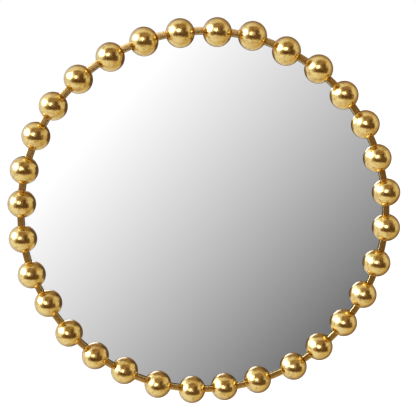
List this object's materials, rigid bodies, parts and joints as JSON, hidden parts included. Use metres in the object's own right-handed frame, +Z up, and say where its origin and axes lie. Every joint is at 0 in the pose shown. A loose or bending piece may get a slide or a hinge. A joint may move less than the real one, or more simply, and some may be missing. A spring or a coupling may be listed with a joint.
{
  "type": "girandole mirror",
  "caption": "Round wall mirror with flat silvered glass in a slim hoop frame threaded with polished gold balls, with a backboard, turn buttons and D-ring hangers behind.",
  "frame": {"origin": "centre of the backboard's rear face", "axes": "+Z up, the mirror faces -Y, +Y points to the wall, +X to the right as seen from the front"},
  "size_m": [0.701, 0.051, 0.6986],
  "materials": {
    "bead_gilt": "thin pressed balls in mottled, polished pale-gold leaf",
    "bar_gilt": "bar in duller, finely stippled gold leaf",
    "band_paint": "dark brown-black paint, satin",
    "silvered_glass": "plain silvered float glass, no bevel",
    "kraft_sheet": "plain brown sheet, matt",
    "fibreboard": "medium-density fibreboard, sealed, matt",
    "zinc_plate": "zinc-plated steel",
    "bumper_rubber": "soft black rubber, matt"
  },
  "bodies": {
    "frame": {"bead_01": "bead_gilt", "bead_02": "bead_gilt", "bead_03": "bead_gilt", "bead_04": "bead_gilt", "bead_05": "bead_gilt", "bead_06": "bead_gilt", "bead_07": "bead_gilt", "bead_08": "bead_gilt", "bead_09": "bead_gilt", "bead_10": "bead_gilt", "bead_11": "bead_gilt", "bead_12": "bead_gilt", "bead_13": "bead_gilt", "bead_14": "bead_gilt", "bead_15": "bead_gilt", "bead_16": "bead_gilt", "bead_17": "bead_gilt", "bead_18": "bead_gilt", "bead_19": "bead_gilt", "bead_20": "bead_gilt", "bead_21": "bead_gilt", "bead_22": "bead_gilt", "bead_23": "bead_gilt", "bead_24": "bead_gilt", "bead_25": "bead_gilt", "bead_26": "bead_gilt", "bead_27": "bead_gilt", "bead_28": "bead_gilt", "bead_29": "bead_gilt", "bead_30": "bead_gilt", "bead_31": "bead_gilt", "bead_32": "bead_gilt", "hoop_bar": "bar_gilt", "tray_band": "band_paint", "mirror_glass": "silvered_glass", "backing_sheet": "kraft_sheet", "backboard": "fibreboard", "turn_button_screw_1": "zinc_plate", "turn_button_screw_2": "zinc_plate", "turn_button_screw_3": "zinc_plate", "turn_button_screw_4": "zinc_plate", "turn_button_screw_5": "zinc_plate", "turn_button_screw_6": "zinc_plate", "hanger_strap_left": "zinc_plate", "hanger_strap_right": "zinc_plate", "hanger_screw_left_upper": "zinc_plate", "hanger_screw_left_lower": "zinc_plate", "hanger_screw_right_upper": "zinc_plate", "hanger_screw_right_lower": "zinc_plate", "bumper_left": "bumper_rubber", "bumper_right": "bumper_rubber"},
    "turn_button_1": {"turn_button_1": "zinc_plate"},
    "turn_button_2": {"turn_button_2": "zinc_plate"},
    "turn_button_3": {"turn_button_3": "zinc_plate"},
    "turn_button_4": {"turn_button_4": "zinc_plate"},
    "turn_button_5": {"turn_button_5": "zinc_plate"},
    "turn_button_6": {"turn_button_6": "zinc_plate"},
    "d_ring_left": {"d_ring_left": "zinc_plate"},
    "d_ring_right": {"d_ring_right": "zinc_plate"}
  },
  "joints": [
    {"name": "turn_button_1_swing", "type": "hinge", "parent": "frame", "child": "turn_button_1", "pos_m": [0.32695, 0.00105, 0], "axis": [0, 1, 0], "range_deg": [-90, 90]},
    {"name": "turn_button_2_swing", "type": "hinge", "parent": "frame", "child": "turn_button_2", "pos_m": [0.16348, 0.00105, 0.28315], "axis": [0, 1, 0], "range_deg": [-90, 90]},
    {"name": "turn_button_3_swing", "type": "hinge", "parent": "frame", "child": "turn_button_3", "pos_m": [-0.16348, 0.00105, 0.28315], "axis": [0, 1, 0], "range_deg": [-90, 90]},
    {"name": "turn_button_4_swing", "type": "hinge", "parent": "frame", "child": "turn_button_4", "pos_m": [-0.32695, 0.00105, 0], "axis": [0, 1, 0], "range_deg": [-90, 90]},
    {"name": "turn_button_5_swing", "type": "hinge", "parent": "frame", "child": "turn_button_5", "pos_m": [-0.16348, 0.00105, -0.28315], "axis": [0, 1, 0], "range_deg": [-90, 90]},
    {"name": "turn_button_6_swing", "type": "hinge", "parent": "frame", "child": "turn_button_6", "pos_m": [0.16348, 0.00105, -0.28315], "axis": [0, 1, 0], "range_deg": [-90, 90]},
    {"name": "d_ring_left_swing", "type": "hinge", "parent": "frame", "child": "d_ring_left", "pos_m": [-0.18, 0.0033, 0.15], "axis": [1, 0, 0], "range_deg": [0, 180]},
    {"name": "d_ring_right_swing", "type": "hinge", "parent": "frame", "child": "d_ring_right", "pos_m": [0.18, 0.0033, 0.15], "axis": [1, 0, 0], "range_deg": [0, 180]}
  ]
}
